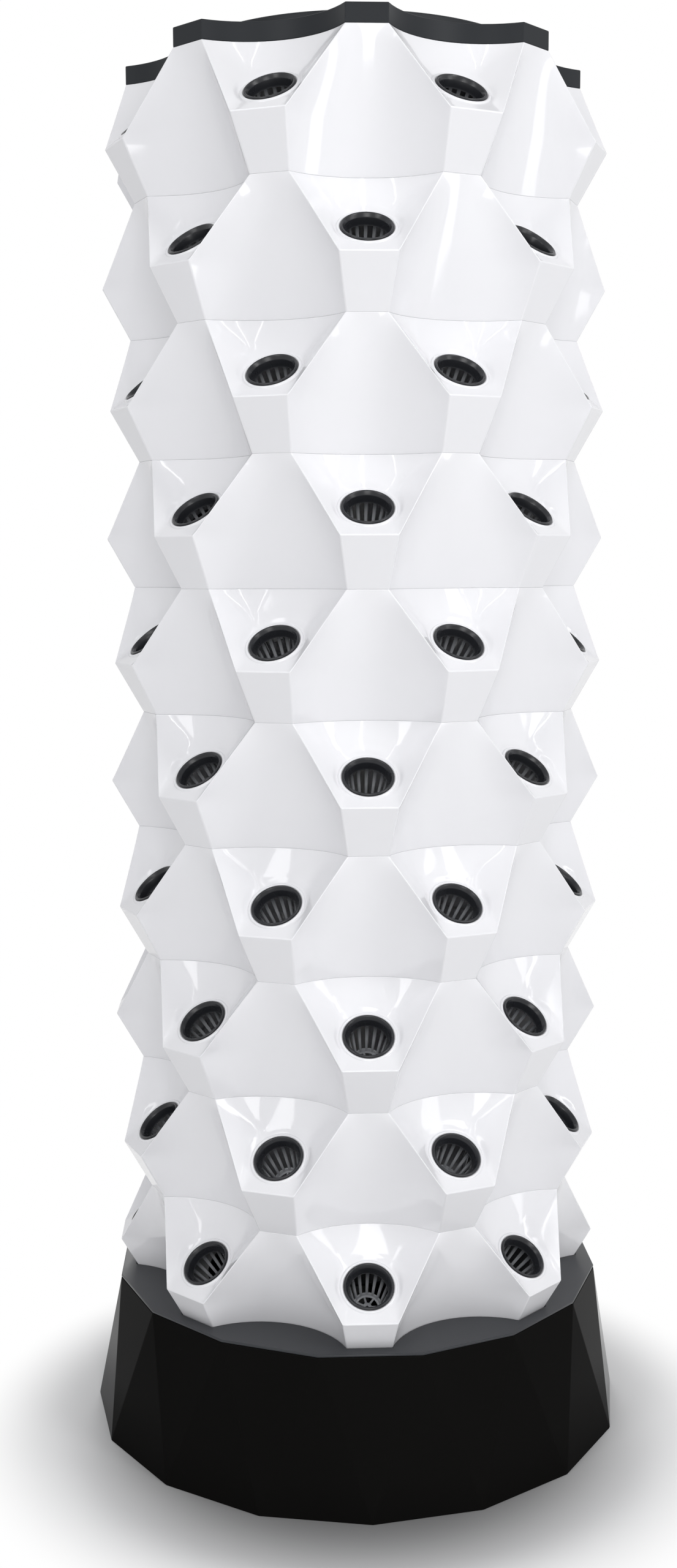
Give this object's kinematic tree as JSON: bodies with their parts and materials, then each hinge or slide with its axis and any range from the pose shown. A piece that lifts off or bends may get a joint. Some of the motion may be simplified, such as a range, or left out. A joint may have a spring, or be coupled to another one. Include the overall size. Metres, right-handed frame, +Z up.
{
  "type": "vertical planter tower",
  "caption": "Free-standing planter tower: stacked scalloped rings with sloping net-cup pots on a faceted water tank, with a pump-fed riser pipe inside.",
  "frame": {"origin": "centre of the tank's foot, on the floor", "axes": "+Z up the column; -Y out of the front, where the even rows from the top have a pot; +X to the right seen from the front"},
  "size_m": [0.63, 0.63, 1.562],
  "materials": {
    "ring_white": "glossy injection-moulded white plastic",
    "cup_black": "smooth black moulded plastic",
    "cover_charcoal": "satin charcoal plastic",
    "tank_black": "high-gloss black plastic with broad facets",
    "deck_grey": "satin dark grey plastic",
    "tray_grey": "plain grey moulded plastic",
    "pipe_white": "plain white extruded pipe",
    "pump_black": "matte black moulded plastic",
    "rotor_white": "plain moulded rotor",
    "rubber_black": "soft black rubber"
  },
  "bodies": {
    "tower": {"water_tank": "tank_black", "tank_deck": "deck_grey", "cable_grommet": "rubber_black", "planter_ring_01": "ring_white", "planter_ring_02": "ring_white", "planter_ring_03": "ring_white", "planter_ring_04": "ring_white", "planter_ring_05": "ring_white", "planter_ring_06": "ring_white", "planter_ring_07": "ring_white", "planter_ring_08": "ring_white", "planter_ring_09": "ring_white", "planter_ring_10": "ring_white", "net_cups_row_01": "cup_black", "net_cups_row_02": "cup_black", "net_cups_row_03": "cup_black", "net_cups_row_05": "cup_black", "net_cups_row_06": "cup_black", "net_cups_row_07": "cup_black", "net_cups_row_08": "cup_black", "net_cups_row_09": "cup_black", "net_cups_row_10": "cup_black", "distribution_tray": "tray_grey", "flow_spreader": "tray_grey", "riser_pipe_lower": "pipe_white", "riser_pipe_upper": "pipe_white", "pump_body": "pump_black", "pump_cover": "pump_black", "suction_feet": "rubber_black"},
    "cover": {"top_cover": "cover_charcoal"},
    "cup_1": {"net_cup_1": "cup_black"},
    "cup_2": {"net_cup_2": "cup_black"},
    "cup_3": {"net_cup_3": "cup_black"},
    "cup_4": {"net_cup_4": "cup_black"},
    "cup_5": {"net_cup_5": "cup_black"},
    "cup_6": {"net_cup_6": "cup_black"},
    "cup_7": {"net_cup_7": "cup_black"},
    "cup_8": {"net_cup_8": "cup_black"},
    "cap": {"fill_cap": "deck_grey"},
    "rotor": {"pump_impeller": "rotor_white"},
    "shutter": {"flow_shutter": "pump_black"}
  },
  "joints": [
    {"name": "cover_lift", "type": "slide", "parent": "tower", "child": "cover", "axis": [0, 0, 1], "range_m": [0, 0.1]},
    {"name": "cup_1_pull", "type": "slide", "parent": "tower", "child": "cup_1", "axis": [0, -0.6361, 0.7716], "range_m": [0, 0.055]},
    {"name": "cup_2_pull", "type": "slide", "parent": "tower", "child": "cup_2", "axis": [0.4498, -0.4498, 0.7716], "range_m": [0, 0.055]},
    {"name": "cup_3_pull", "type": "slide", "parent": "tower", "child": "cup_3", "axis": [0.6361, 0, 0.7716], "range_m": [0, 0.055]},
    {"name": "cup_4_pull", "type": "slide", "parent": "tower", "child": "cup_4", "axis": [0.4498, 0.4498, 0.7716], "range_m": [0, 0.055]},
    {"name": "cup_5_pull", "type": "slide", "parent": "tower", "child": "cup_5", "axis": [0, 0.6361, 0.7716], "range_m": [0, 0.055]},
    {"name": "cup_6_pull", "type": "slide", "parent": "tower", "child": "cup_6", "axis": [-0.4498, 0.4498, 0.7716], "range_m": [0, 0.055]},
    {"name": "cup_7_pull", "type": "slide", "parent": "tower", "child": "cup_7", "axis": [-0.6361, 0, 0.7716], "range_m": [0, 0.055]},
    {"name": "cup_8_pull", "type": "slide", "parent": "tower", "child": "cup_8", "axis": [-0.4498, -0.4498, 0.7716], "range_m": [0, 0.055]},
    {"name": "cap_lift", "type": "slide", "parent": "tower", "child": "cap", "axis": [0, 0, 1], "range_m": [0, 0.02]},
    {"name": "rotor_spin", "type": "hinge", "parent": "tower", "child": "rotor", "pos_m": [0, -0.033, 0.034], "axis": [0, 1, 0], "continuous": true},
    {"name": "shutter_turn", "type": "hinge", "parent": "tower", "child": "shutter", "pos_m": [0, -0.036, 0.034], "axis": [0, 1, 0], "range_deg": [0, 90]}
  ]
}
